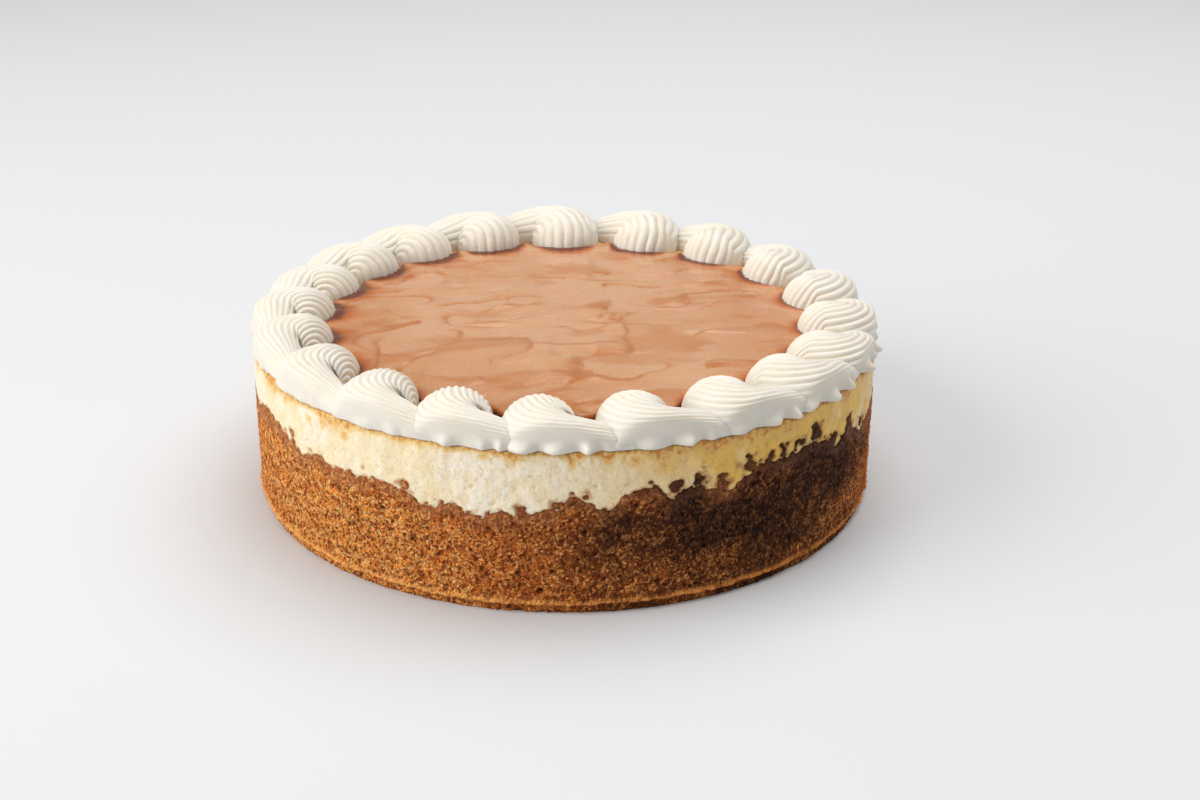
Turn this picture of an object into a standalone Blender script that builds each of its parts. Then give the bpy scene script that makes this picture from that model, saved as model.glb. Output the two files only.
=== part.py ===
"""A whole baked cheesecake, 24 cm across, standing on its own crumb base.

A biscuit-crumb crust makes the bottom and climbs the side to a ragged edge.
The set filling fills that cup, shows as a pale band above the crust and
carries a thin caramel layer. Twenty piped cream shells stand in a ring on
the rim, each with its tail running counterclockwise under the next head.

Metres, +Z up, the origin under the middle of the base.
"""

import math

import bmesh
import bpy
import numpy as np

# ---------------------------------------------------------------- sizes
MM = 0.001
GAP = 0.3 * MM  # clearance between touching pieces

CAKE_RADIUS = 121.5 * MM
CAKE_HEIGHT = 61.0 * MM  # top of the filling
TURN_STEPS = 136  # faces around every turned piece

BASE_THICKNESS = 7.0 * MM  # crumb floor
WALL_THICKNESS = 5.0 * MM  # crumb wall at the floor
WALL_TOP_THICKNESS = 3.6 * MM  # crumb wall at its ragged edge
FOOT_HEIGHT = 3.6 * MM  # step left by the tin's base plate
FOOT_INSET = 0.8 * MM
WALL_EDGE = 41.5 * MM  # mean height of the ragged edge

RIM_ROUND = 2.2 * MM  # softened top corner of the filling
CARAMEL_THICKNESS = 2.2 * MM
CARAMEL_MARGIN = 1.1 * MM  # clear of the cream
CARAMEL_ROUND = 0.8 * MM

# Piped shells. Lengths along the ring are measured at SHELL_RING_RADIUS.
SHELL_RING_RADIUS = 105.0 * MM
SHELL_RING_SHIFT = 2.6 * MM  # the ring sits a little towards -Y
RIDGES = 11  # star-tip ridges over one shell
RIDGE_DEPTH = 0.95 * MM
HEAD_HEIGHT = 12.6 * MM
TAIL_HEIGHT = 5.6 * MM
HEAD_HALF_WIDTH_IN = 12.8 * MM  # towards the curl
HEAD_HALF_WIDTH_OUT = 13.4 * MM
TAIL_HALF_WIDTH_IN = 5.0 * MM
TAIL_HALF_WIDTH_OUT = 5.6 * MM
HEAD_REACH = 12.4 * MM  # how far the bulb runs on past its middle
STRAIGHT_RUN = 9.5 * MM  # tail part, along the ring
CURL_RUN = 19.0 * MM  # curled part, turning inwards
CURL_ANGLE = math.radians(95.0)
TAIL_LEAN = math.radians(6.0)
HEAD_MIDDLE = (0.0 * MM, 2.6 * MM)  # along the ring, inwards
HEAD_START = -13.5 * MM  # the head's first point along the ring
RUN_ON = 0.25  # share of the path that the tail runs on under the next head
GROWTH = 0.42  # how early the tail fills out into the head
RIM_LEAN = 2.0 * MM  # strip of rim in which the cream's foot is held back

# Where each head starts on the ring (degrees) and how large it was piped.
SHELLS = (
    (257.7, 1.00), (275.7, 1.02), (294.0, 1.04), (311.4, 1.02),
    (329.0, 0.98), (346.9, 0.96), (5.2, 0.97), (24.0, 1.00),
    (43.5, 1.04), (62.5, 1.10), (83.0, 1.16), (102.5, 1.10),
    (120.5, 1.05), (137.5, 1.02), (153.5, 0.98), (169.5, 0.95),
    (186.5, 0.96), (205.2, 0.98), (224.4, 1.00), (241.5, 1.00),
)

COLOURS = {
    "crust": ((0.42, 0.17, 0.06), 0.85),
    "filling": ((0.86, 0.72, 0.44), 0.55),
    "caramel": ((0.66, 0.36, 0.19), 0.25),
    "cream": ((0.90, 0.86, 0.76), 0.50),
}


# ---------------------------------------------------------------- helpers
def clear_scene():
    for obj in list(bpy.data.objects):
        bpy.data.objects.remove(obj, do_unlink=True)
    for collection in list(bpy.data.collections):
        bpy.data.collections.remove(collection)


def make_material(name):
    colour, roughness = COLOURS[name]
    material = bpy.data.materials.new(name)
    material.use_nodes = True
    shader = material.node_tree.nodes["Principled BSDF"]
    shader.inputs["Base Color"].default_value = (*colour, 1.0)
    shader.inputs["Roughness"].default_value = roughness
    shader.inputs["Metallic"].default_value = 0.0
    return material


def smooth_step(x):
    x = np.clip(x, 0.0, 1.0)
    return x * x * (3.0 - 2.0 * x)


def angle_between(a, b):
    """Signed difference a - b in degrees, in -180..180."""
    return (a - b + 180.0) % 360.0 - 180.0


def add_piece(name, bm, material, collection, sharp=35.0):
    mesh = bpy.data.meshes.new(name)
    bm.normal_update()
    bm.to_mesh(mesh)
    bm.free()
    mesh.materials.append(material)
    mesh.shade_smooth()
    mesh.set_sharp_from_angle(angle=math.radians(sharp))
    obj = bpy.data.objects.new(name, mesh)
    collection.objects.link(obj)
    return obj


def turned(name, profile):
    """The mesh of a profile turned once about Z by a Screw modifier."""
    mesh = bpy.data.meshes.new(name + "_profile")
    points = [(r, 0.0, z) for r, z in profile]
    mesh.from_pydata(points, [(i, i + 1) for i in range(len(points) - 1)], [])
    obj = bpy.data.objects.new(name + "_profile", mesh)
    bpy.context.scene.collection.objects.link(obj)
    screw = obj.modifiers.new("Turn", "SCREW")
    screw.axis = "Z"
    screw.angle = 2.0 * math.pi
    screw.steps = TURN_STEPS
    screw.render_steps = TURN_STEPS
    screw.use_merge_vertices = True
    screw.merge_threshold = 0.00001
    screw.use_normal_calculate = False
    bpy.context.view_layer.update()
    graph = bpy.context.evaluated_depsgraph_get()
    bm = bmesh.new()
    bm.from_mesh(bpy.data.meshes.new_from_object(obj.evaluated_get(graph)))
    bpy.data.objects.remove(obj, do_unlink=True)
    bmesh.ops.remove_doubles(bm, verts=bm.verts, dist=0.000002)
    bmesh.ops.recalc_face_normals(bm, faces=bm.faces)
    return bm


# ---------------------------------------------------------------- the side
def wall_edge(angle):
    """Height of the crumb wall's ragged edge at an angle in degrees."""
    height = WALL_EDGE
    # broad rises and falls: middle, half width, height
    for middle, half_width, rise in (
        (257.0, 12.0, -5.5), (203.0, 12.0, 3.2), (315.0, 11.0, 6.0),
        (282.5, 3.0, 6.0), (291.5, 3.2, 3.2), (271.0, 1.7, 5.0),
        (304.0, 2.4, 3.4), (323.0, 1.8, -3.2), (337.0, 5.0, -3.4),
        (238.0, 3.5, 1.6), (20.0, 14.0, 3.0), (62.0, 9.0, -3.0),
        (95.0, 13.0, 3.4), (128.0, 7.0, -3.2), (160.0, 12.0, 2.6),
    ):
        x = angle_between(angle, middle) / half_width
        height += rise * MM * math.exp(-x * x)
    # crumb by crumb
    turn = math.radians(angle)
    for waves, size, start in (
        (23, 0.55, 0.3), (37, 0.50, 1.9), (51, 0.45, 4.0), (68, 0.35, 2.2),
    ):
        height += size * MM * math.sin(waves * turn + start)
    return height


def follow_wall_edge(bm, low):
    """Moves every vertex above the foot of the wall with the ragged edge."""
    for vertex in bm.verts:
        if abs(vertex.co.z - WALL_EDGE) < low:
            angle = math.degrees(math.atan2(vertex.co.y, vertex.co.x)) % 360.0
            vertex.co.z += wall_edge(angle) - WALL_EDGE


def make_crust(collection, material):
    inner_floor = CAKE_RADIUS - WALL_THICKNESS
    profile = [
        (0.0, BASE_THICKNESS),
        (inner_floor, BASE_THICKNESS),
        (CAKE_RADIUS - WALL_TOP_THICKNESS, WALL_EDGE),
        (CAKE_RADIUS, WALL_EDGE),
        (CAKE_RADIUS, FOOT_HEIGHT + 0.9 * MM),
        (CAKE_RADIUS - FOOT_INSET, FOOT_HEIGHT),
        (CAKE_RADIUS - FOOT_INSET, 0.0),
        (0.0, 0.0),
    ]
    bm = turned("crust", profile)
    follow_wall_edge(bm, 1.0 * MM)
    return add_piece("crust", bm, material, collection)


def make_filling(collection, material):
    inner_floor = CAKE_RADIUS - WALL_THICKNESS - GAP
    profile = [
        (0.0, CAKE_HEIGHT),
        (CAKE_RADIUS - RIM_ROUND, CAKE_HEIGHT),
        (CAKE_RADIUS, CAKE_HEIGHT - RIM_ROUND),
        (CAKE_RADIUS, WALL_EDGE + GAP),
        (CAKE_RADIUS - WALL_TOP_THICKNESS - GAP, WALL_EDGE + GAP),
        (inner_floor, BASE_THICKNESS + GAP),
        (0.0, BASE_THICKNESS + GAP),
    ]
    bm = turned("filling", profile)
    follow_wall_edge(bm, 1.0 * MM)
    return add_piece("filling", bm, material, collection)


# ---------------------------------------------------------------- shells
def shell_path(count=200):
    """The middle line of one shell in plan, tail first: points and headings."""
    run = STRAIGHT_RUN + CURL_RUN
    length = np.linspace(0.0, run, count)
    bend = np.clip((length - STRAIGHT_RUN) / CURL_RUN, 0.0, 1.0)
    bend = 0.5 * bend + 0.5 * smooth_step(bend)
    heading = math.pi + TAIL_LEAN - (CURL_ANGLE + TAIL_LEAN) * bend
    step = np.diff(length)
    u = np.concatenate([[0.0], np.cumsum(np.cos(heading[:-1]) * step)])
    v = np.concatenate([[0.0], np.cumsum(np.sin(heading[:-1]) * step)])
    u += HEAD_MIDDLE[0] - u[-1]
    v += HEAD_MIDDLE[1] - v[-1]
    return length / run, u, v, heading


def smooth_shell(across, along):
    """The shell before its ridges: u along the ring, v inwards, z up.

    across runs 0..1 over the cream, from the curl's side to the outer side.
    along runs 0..1 down the path and 1..2 over the bulb's end to its foot;
    below 0 the tail runs on, getting lower, under the next head.
    """
    share, path_u, path_v, path_heading = shell_path()
    on_path = np.clip(along, 0.0, 1.0)
    run_on = np.clip(-along, 0.0, 1.0)
    fold = np.clip(along - 1.0, 0.0, 1.0) * math.pi / 2.0
    grow = smooth_step(on_path * 0.9 + 0.1) ** GROWTH
    side = np.cos(math.pi * across)
    arch = np.sin(math.pi * across)
    half_in = TAIL_HALF_WIDTH_IN + (HEAD_HALF_WIDTH_IN - TAIL_HALF_WIDTH_IN) * grow
    half_out = TAIL_HALF_WIDTH_OUT + (HEAD_HALF_WIDTH_OUT - TAIL_HALF_WIDTH_OUT) * grow
    half = np.where(side > 0.0, half_in, half_out)
    tall = TAIL_HEIGHT + (HEAD_HEIGHT - TAIL_HEIGHT) * grow
    heading = np.interp(on_path, share, path_heading)
    reach = HEAD_REACH * arch**0.9 * np.sin(fold) - run_on * (STRAIGHT_RUN + CURL_RUN)
    u = np.interp(on_path, share, path_u)
    v = np.interp(on_path, share, path_v)
    u = u + np.cos(heading) * reach + np.sin(heading) * half * side
    v = v + np.sin(heading) * reach - np.cos(heading) * half * side
    z = tall * arch**0.8 * np.cos(fold) * (1.0 - 1.6 * run_on)
    return np.stack([u, v, z], axis=-1)


def shell_surface(across, along, swell):
    """The ridged surface, pushed out everywhere by swell."""
    points = smooth_shell(across, along)
    small = 0.003
    over = smooth_shell(np.clip(across + small, 0, 1), along) - smooth_shell(
        np.clip(across - small, 0, 1), along
    )
    down = smooth_shell(across, np.minimum(along + small, 2)) - smooth_shell(
        across, np.maximum(along - small, -1)
    )
    normal = np.cross(over, down)
    size = np.linalg.norm(normal, axis=-1, keepdims=True)
    normal = normal / np.maximum(size, 1e-12)
    normal = np.where(normal[..., 2:] < 0.0, -normal, normal)
    ridge = np.abs(np.sin(math.pi * RIDGES * across)) - 0.55
    depth = RIDGE_DEPTH * (0.4 + 0.6 * smooth_step(np.clip(along, 0.0, 1.0)))
    edge = smooth_step(np.minimum(across, 1.0 - across) * 9.0)
    return points + normal * (depth * ridge * edge + swell)[..., None]


def to_ring(points, start, scale):
    """Bends shell coordinates round the ring."""
    u, v, z = (points[..., axis] * scale for axis in range(3))
    turn = math.radians(start) + (u - HEAD_START) / SHELL_RING_RADIUS
    radius = SHELL_RING_RADIUS - v
    x = radius * np.cos(turn)
    y = radius * np.sin(turn) - SHELL_RING_SHIFT
    # The cream comes out to the cake's side and leans no further.
    out = np.hypot(x, y)
    over = np.maximum(out - (CAKE_RADIUS - RIM_LEAN), 0.0)
    held = np.minimum(out, CAKE_RADIUS - RIM_LEAN) + RIM_LEAN * (
        1.0 - np.exp(-over / RIM_LEAN)
    )
    return np.stack([x * held / out, y * held / out, CAKE_HEIGHT + GAP + z], axis=-1)


ALONG_ROWS = (-RUN_ON, 0.2, 0.6, 1.0, 1.45, 2.0)


def shell_rows(start, scale, swell=0.0, sink=0.0):
    """The grid of a shell's points; its outer rows lie on the cake."""
    across = np.linspace(0.0, 1.0, 2 * RIDGES + 1)
    along = np.array(ALONG_ROWS)
    grid_across, grid_along = np.meshgrid(across, along, indexing="ij")
    points = shell_surface(grid_across, grid_along, swell)
    points[..., 2] = np.maximum(points[..., 2], 0.0)
    points[0, :, 2] = points[-1, :, 2] = -sink
    points[:, 0, 2] = points[:, -1, 2] = -sink
    return to_ring(points, start, scale)


def shell_mesh(points):
    bm = bmesh.new()
    columns, rows = points.shape[:2]
    verts = [[bm.verts.new(points[i, j]) for j in range(rows)] for i in range(columns)]
    for i in range(columns - 1):
        for j in range(rows - 1):
            bm.faces.new(
                (verts[i][j], verts[i][j + 1], verts[i + 1][j + 1], verts[i + 1][j])
            )
    bmesh.ops.remove_doubles(bm, verts=bm.verts, dist=0.00001)
    rim = [edge for edge in bm.edges if edge.is_boundary]
    bmesh.ops.contextual_create(bm, geom=rim)
    bmesh.ops.triangulate(bm, faces=bm.faces)
    bmesh.ops.recalc_face_normals(bm, faces=bm.faces)
    return bm


def make_shells(collection, cutters, material):
    """Each tail is cut back to lie against the head piped over it."""
    shells = []
    heads = []
    for number, (start, scale) in enumerate(SHELLS, start=1):
        name = f"cream_shell_{number:02d}"
        bm = shell_mesh(shell_rows(start, scale))
        shells.append(add_piece(name, bm, material, collection, sharp=60.0))
        bm = shell_mesh(shell_rows(start, scale, swell=0.35 * MM, sink=1.0 * MM))
        head = add_piece(f"room_for_head_{number:02d}", bm, material, cutters)
        head.hide_render = True
        head.display_type = "WIRE"
        heads.append(head)
    for index, shell in enumerate(shells):
        cut = shell.modifiers.new("Under the next head", "BOOLEAN")
        cut.operation = "DIFFERENCE"
        cut.solver = "EXACT"
        cut.object = heads[(index + 1) % len(heads)]


# ---------------------------------------------------------------- caramel
def inner_reach(points, angles):
    """Smallest radius at which the cream's foot meets each ray from the axis."""
    reach = np.full(len(angles), 1.0)
    foot = points.reshape(-1, 3)
    foot = foot[foot[:, 2] < CAKE_HEIGHT + CARAMEL_THICKNESS + 2.0 * MM]
    turn = np.arctan2(foot[:, 1], foot[:, 0])
    radius = np.hypot(foot[:, 0], foot[:, 1])
    for index, angle in enumerate(angles):
        off = np.abs((turn - angle + math.pi) % (2.0 * math.pi) - math.pi)
        near = off < 2.2 * math.pi / TURN_STEPS
        if near.any():
            reach[index] = radius[near].min()
    return reach


def make_caramel(collection, material):
    angles = np.arange(TURN_STEPS) * 2.0 * math.pi / TURN_STEPS
    reach = np.full(TURN_STEPS, 1.0)
    for start, scale in SHELLS:
        reach = np.minimum(reach, inner_reach(shell_rows(start, scale), angles))
    known = reach < 0.5
    reach = np.interp(angles, angles[known], reach[known], period=2.0 * math.pi)
    outline = reach - CARAMEL_MARGIN
    mean = float(outline.mean())
    base = CAKE_HEIGHT + GAP
    profile = [
        (0.0, base + CARAMEL_THICKNESS),
        (mean - CARAMEL_ROUND, base + CARAMEL_THICKNESS),
        (mean, base + CARAMEL_THICKNESS - CARAMEL_ROUND),
        (mean, base),
        (0.0, base),
    ]
    bm = turned("caramel", profile)
    for vertex in bm.verts:
        radius = math.hypot(vertex.co.x, vertex.co.y)
        if radius > 0.5 * mean:
            angle = math.atan2(vertex.co.y, vertex.co.x) % (2.0 * math.pi)
            index = round(angle / (2.0 * math.pi) * TURN_STEPS) % TURN_STEPS
            wanted = outline[index] - (mean - radius)
            vertex.co.x *= wanted / radius
            vertex.co.y *= wanted / radius
    return add_piece("caramel", bm, material, collection)


# ---------------------------------------------------------------- build
def main():
    clear_scene()
    collection = bpy.data.collections.new("baked_cheesecake")
    cutters = bpy.data.collections.new("cutters")
    cutters.hide_render = True
    bpy.context.scene.collection.children.link(collection)
    bpy.context.scene.collection.children.link(cutters)
    materials = {name: make_material(name) for name in COLOURS}
    make_crust(collection, materials["crust"])
    make_filling(collection, materials["filling"])
    make_caramel(collection, materials["caramel"])
    make_shells(collection, cutters, materials["cream"])


main()
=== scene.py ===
"""Looks for the baked cheesecake: fine crust, filling, caramel and piped cream."""

import math

import bpy
import numpy as np
from mathutils import Matrix, Vector


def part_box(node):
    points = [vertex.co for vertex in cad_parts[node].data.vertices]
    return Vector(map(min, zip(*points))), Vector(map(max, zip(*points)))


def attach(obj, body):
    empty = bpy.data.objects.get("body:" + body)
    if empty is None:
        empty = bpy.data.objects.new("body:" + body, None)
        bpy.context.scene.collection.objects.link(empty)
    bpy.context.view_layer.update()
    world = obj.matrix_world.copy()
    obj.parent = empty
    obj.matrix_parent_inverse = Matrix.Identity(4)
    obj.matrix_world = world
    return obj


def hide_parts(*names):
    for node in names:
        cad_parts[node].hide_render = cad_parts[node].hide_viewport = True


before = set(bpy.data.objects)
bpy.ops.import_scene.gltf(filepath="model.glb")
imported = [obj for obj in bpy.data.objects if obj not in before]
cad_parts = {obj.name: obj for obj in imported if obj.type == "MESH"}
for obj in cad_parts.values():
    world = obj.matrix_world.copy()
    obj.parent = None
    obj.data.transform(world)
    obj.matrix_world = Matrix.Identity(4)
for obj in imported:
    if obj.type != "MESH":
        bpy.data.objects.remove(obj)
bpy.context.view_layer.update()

MM = 0.001

# ------------------------------------------------------------------ sizes
crust_low, crust_high = (np.array(c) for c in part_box("crust"))
fill_low, fill_high = (np.array(c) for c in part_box("filling"))
cara_low, cara_high = (np.array(c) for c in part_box("caramel"))
CAKE_R = float(crust_high[0] - crust_low[0]) / 2.0
TOP = float(fill_high[2])
CARA_TOP = float(cara_high[2])
WALL_EDGE = 41.5 * MM


# ------------------------------------------------------------------ noise
def lattice(ix, iy, iz, seed):
    """A fixed random number in 0..1 for each lattice cell."""
    h = (
        ix.astype(np.int64) * 73856093
        ^ iy.astype(np.int64) * 19349663
        ^ iz.astype(np.int64) * 83492791
        ^ (seed * 2654435761)
    )
    h = h & 0xFFFFFFFF
    h = (h ^ (h >> 15)) * 2246822519 & 0xFFFFFFFF
    h = (h ^ (h >> 13)) * 3266489917 & 0xFFFFFFFF
    h = h ^ (h >> 16)
    return (h & 0xFFFFFF) / float(0xFFFFFF)


def noise(points, size, seed=0):
    """Smooth noise in -1..1 with features of about size."""
    p = points / size
    i = np.floor(p).astype(np.int64)
    f = p - i
    f = f * f * f * (f * (f * 6 - 15) + 10)
    total = 0.0
    for dx in (0, 1):
        wx = f[..., 0] if dx else 1 - f[..., 0]
        for dy in (0, 1):
            wy = f[..., 1] if dy else 1 - f[..., 1]
            for dz in (0, 1):
                wz = f[..., 2] if dz else 1 - f[..., 2]
                total = total + wx * wy * wz * lattice(
                    i[..., 0] + dx, i[..., 1] + dy, i[..., 2] + dz, seed
                )
    return total * 2 - 1


def fbm(points, size, octaves=4, seed=0, gain=0.5):
    total, weight, norm = 0.0, 1.0, 0.0
    for k in range(octaves):
        total = total + weight * noise(points, size / 2**k, seed + 17 * k)
        norm += weight
        weight *= gain
    return total / norm


def cells(points, size, seed=0):
    """Distance to the nearest and second nearest cell centre, and a number for each cell."""
    p = points / size
    base = np.floor(p).astype(np.int64)
    near = np.full(points.shape[:-1], 9.0)
    second = np.full(points.shape[:-1], 9.0)
    tag = np.zeros(points.shape[:-1])
    for dx in (-1, 0, 1):
        for dy in (-1, 0, 1):
            for dz in (-1, 0, 1):
                ix, iy, iz = base[..., 0] + dx, base[..., 1] + dy, base[..., 2] + dz
                cx = ix + lattice(ix, iy, iz, seed + 1)
                cy = iy + lattice(ix, iy, iz, seed + 2)
                cz = iz + lattice(ix, iy, iz, seed + 3)
                d = np.sqrt((p[..., 0] - cx) ** 2 + (p[..., 1] - cy) ** 2 + (p[..., 2] - cz) ** 2)
                number = lattice(ix, iy, iz, seed + 4)
                closer = d < near
                second = np.where(closer, near, np.minimum(second, d))
                tag = np.where(closer, number, tag)
                near = np.where(closer, d, near)
    return near, second, tag


def smooth_step(x):
    x = np.clip(x, 0.0, 1.0)
    return x * x * (3.0 - 2.0 * x)


def between(x, low, high):
    return smooth_step((x - low) / (high - low))


# ------------------------------------------------------------------ meshes
def grid_mesh(name, points, wrap_u=False, flip=False):
    """A mesh over a grid of points[u, v]."""
    nu, nv = points.shape[:2]
    index = np.arange(nu * nv).reshape(nu, nv)
    if wrap_u:
        index = np.vstack([index, index[:1]])
    a, b, c, d = index[:-1, :-1], index[1:, :-1], index[1:, 1:], index[:-1, 1:]
    quads = np.stack([a, b, c, d] if not flip else [a, d, c, b], axis=-1).reshape(-1, 4)
    mesh = bpy.data.meshes.new(name)
    mesh.vertices.add(nu * nv)
    mesh.vertices.foreach_set("co", np.ascontiguousarray(points, np.float32).ravel())
    mesh.loops.add(quads.size)
    mesh.loops.foreach_set("vertex_index", quads.ravel().astype(np.int32))
    mesh.polygons.add(len(quads))
    mesh.polygons.foreach_set("loop_start", np.arange(len(quads), dtype=np.int32) * 4)
    mesh.polygons.foreach_set("loop_total", np.full(len(quads), 4, np.int32))
    mesh.polygons.foreach_set("use_smooth", np.ones(len(quads), bool))
    mesh.update(calc_edges=True)
    mesh.validate()
    return mesh


def tint(mesh, name, values):
    """Stores one number for each vertex, read by the material."""
    layer = mesh.attributes.new(name, "FLOAT", "POINT")
    layer.data.foreach_set("value", np.ascontiguousarray(values, np.float32).ravel())


def add_object(name, mesh, material):
    mesh.materials.append(material)
    obj = bpy.data.objects.new(name, mesh)
    bpy.context.scene.collection.objects.link(obj)
    return obj


# ------------------------------------------------------------------ materials
class Nodes:
    """Short calls for building one material's node tree."""

    def __init__(self, name):
        self.material = bpy.data.materials.new(name)
        self.material.use_nodes = True
        self.tree = self.material.node_tree
        self.shader = self.tree.nodes["Principled BSDF"]
        self.place = self.add("ShaderNodeNewGeometry").outputs["Position"]

    def add(self, kind, **settings):
        node = self.tree.nodes.new(kind)
        for key, value in settings.items():
            setattr(node, key, value)
        return node

    def link(self, source, target):
        self.tree.links.new(source, target)
        return target

    def put(self, value, socket):
        if isinstance(value, bpy.types.NodeSocket):
            self.link(value, socket)
        elif isinstance(value, tuple) and len(value) == 3 and len(socket.default_value) == 4:
            socket.default_value = (*value, 1.0)
        else:
            socket.default_value = value

    def number(self, name):
        return self.add("ShaderNodeAttribute", attribute_name=name).outputs["Fac"]

    def noise(self, size, detail=3.0, roughness=0.5, stretch=(1.0, 1.0, 1.0), warp=0.0):
        place = self.add("ShaderNodeVectorMath", operation="MULTIPLY")
        self.link(self.place, place.inputs[0])
        place.inputs[1].default_value = stretch
        node = self.add("ShaderNodeTexNoise")
        self.link(place.outputs["Vector"], node.inputs["Vector"])
        node.inputs["Scale"].default_value = 1.0 / size
        node.inputs["Detail"].default_value = detail
        node.inputs["Roughness"].default_value = roughness
        node.inputs["Distortion"].default_value = warp
        return node.outputs["Fac"]

    def grains(self, size, feature="F1", output="Distance"):
        node = self.add("ShaderNodeTexVoronoi", feature=feature)
        self.link(self.place, node.inputs["Vector"])
        node.inputs["Scale"].default_value = 1.0 / size
        return node.outputs[output]

    def span(self, value, low, high, to_low=0.0, to_high=1.0):
        node = self.add("ShaderNodeMapRange", interpolation_type="SMOOTHSTEP")
        self.link(value, node.inputs["Value"])
        node.inputs["From Min"].default_value = low
        node.inputs["From Max"].default_value = high
        node.inputs["To Min"].default_value = to_low
        node.inputs["To Max"].default_value = to_high
        return node.outputs["Result"]

    def mix(self, amount, a, b, blend="MIX"):
        node = self.add("ShaderNodeMix", data_type="RGBA", blend_type=blend)
        self.put(amount, node.inputs["Factor"])
        self.put(a, node.inputs[6])
        self.put(b, node.inputs[7])
        return node.outputs[2]

    def math(self, operation, a, b=0.0):
        node = self.add("ShaderNodeMath", operation=operation)
        self.put(a, node.inputs[0])
        self.put(b, node.inputs[1])
        return node.outputs["Value"]

    def bump(self, height, depth, strength=1.0, under=None):
        node = self.add("ShaderNodeBump")
        node.inputs["Strength"].default_value = strength
        node.inputs["Distance"].default_value = depth
        self.link(height, node.inputs["Height"])
        if under is not None:
            self.link(under, node.inputs["Normal"])
        return node.outputs["Normal"]

    def set(self, **values):
        for name, value in values.items():
            self.put(value, self.shader.inputs[name.replace("_", " ")])


def cream_material():
    n = Nodes("piped_cream")
    warm = n.span(n.noise(9 * MM, 2.0), 0.35, 0.75)
    groove_shade = n.number("groove_shade")
    colour = n.mix(warm, (0.77, 0.735, 0.670), (0.76, 0.712, 0.62))
    # painted shade: warm tan in the grooves between ridges and the clefts between teeth
    colour = n.mix(n.math("MULTIPLY", groove_shade, 0.55), colour, (0.80, 0.66, 0.45))
    n.set(
        Base_Color=colour,
        Roughness=n.span(n.noise(3 * MM, 3.0), 0.3, 0.7, 0.42, 0.55),
        Subsurface_Weight=0.35,
        Subsurface_Scale=0.0035,
        Specular_IOR_Level=0.38,
    )
    n.shader.inputs["Subsurface Radius"].default_value = (1.0, 0.75, 0.45)
    fine = n.bump(n.noise(0.9 * MM, 4.0, 0.6), 0.10 * MM, 0.8)
    n.link(n.bump(n.noise(4.0 * MM, 2.0), 0.25 * MM, 0.5, fine), n.shader.inputs["Normal"])
    return n.material


def filling_material():
    n = Nodes("set_filling")
    patch = n.number("patch")
    brown = n.number("brown")
    stain = n.number("stain")
    warm = n.number("warm")
    mottle = n.span(n.noise(3.6 * MM, 4.0, 0.62, (1.0, 1.0, 0.6)), 0.42, 0.66)
    colour = n.mix(patch, (0.93, 0.865, 0.74), (0.91, 0.795, 0.55))
    # warm: painted warm shade on the front right, away from the light, with some real browning; mottles, specks and
    # stains go darker there too
    colour = n.mix(warm, colour, (0.88, 0.540, 0.105))
    colour = n.mix(n.math("MULTIPLY", mottle, 0.62), colour, n.mix(warm, (0.86, 0.705, 0.43), (0.64, 0.37, 0.07)))
    speck = n.span(n.noise(1.5 * MM, 3.0, 0.65), 0.54, 0.70)
    colour = n.mix(n.math("MULTIPLY", speck, 0.45), colour, n.mix(warm, (0.68, 0.48, 0.22), (0.42, 0.22, 0.04)))
    colour = n.mix(stain, colour, n.mix(warm, (0.52, 0.245, 0.090), (0.30, 0.110, 0.030)))
    ragged = n.span(n.noise(1.5 * MM, 4.0, 0.6), 0.28, 0.72, 0.40, 1.15)
    rim = n.math("MULTIPLY", brown, ragged)
    colour = n.mix(n.span(rim, 0.0, 0.5, 0.0, 0.85), colour, (0.80, 0.50, 0.135))
    colour = n.mix(n.span(rim, 0.45, 1.0, 0.0, 0.95), colour, (0.62, 0.235, 0.036))
    n.set(
        Base_Color=colour,
        Roughness=n.span(n.noise(2 * MM, 3.0), 0.3, 0.7, 0.42, 0.62),
        Subsurface_Weight=0.3,
        Subsurface_Scale=0.003,
        Specular_IOR_Level=0.4,
    )
    n.shader.inputs["Subsurface Radius"].default_value = (1.0, 0.6, 0.25)
    fine = n.bump(n.noise(0.9 * MM, 4.0, 0.65), 0.18 * MM, 0.7)
    rough = n.bump(n.noise(2.6 * MM, 4.0, 0.62), 1.0 * MM, 0.8, fine)
    n.link(rough, n.shader.inputs["Normal"])
    return n.material


def caramel_material():
    n = Nodes("caramel_glaze")
    streak = n.number("streak")
    edge = n.number("edge")
    fine = n.span(n.noise(7 * MM, 4.0, 0.6, (0.5, 1.0, 1.0), 0.8), 0.38, 0.7)
    colour = n.mix(streak, (0.60, 0.337, 0.190), (0.45, 0.148, 0.030))
    colour = n.mix(n.math("MULTIPLY", fine, 0.30), colour, (0.55, 0.26, 0.10))
    # edge: painted shade of the cream shells on the caramel, dark brown to near black
    colour = n.mix(n.span(edge, 0.0, 0.45), colour, (0.46, 0.120, 0.014))
    colour = n.mix(n.span(edge, 0.35, 0.95), colour, (0.150, 0.024, 0.003))
    n.set(
        Base_Color=colour,
        Roughness=n.span(n.noise(5 * MM, 4.0, 0.6), 0.3, 0.7, 0.20, 0.34),
        Subsurface_Weight=0.25,
        Subsurface_Scale=0.003,
        Specular_IOR_Level=0.42,
        Coat_Weight=0.12,
        Coat_Roughness=0.12,
    )
    n.shader.inputs["Subsurface Radius"].default_value = (1.0, 0.4, 0.15)
    small = n.bump(n.noise(2.4 * MM, 3.0, 0.55, (0.4, 1.0, 1.0)), 0.10 * MM, 0.6)
    n.link(small, n.shader.inputs["Normal"])
    return n.material


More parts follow.
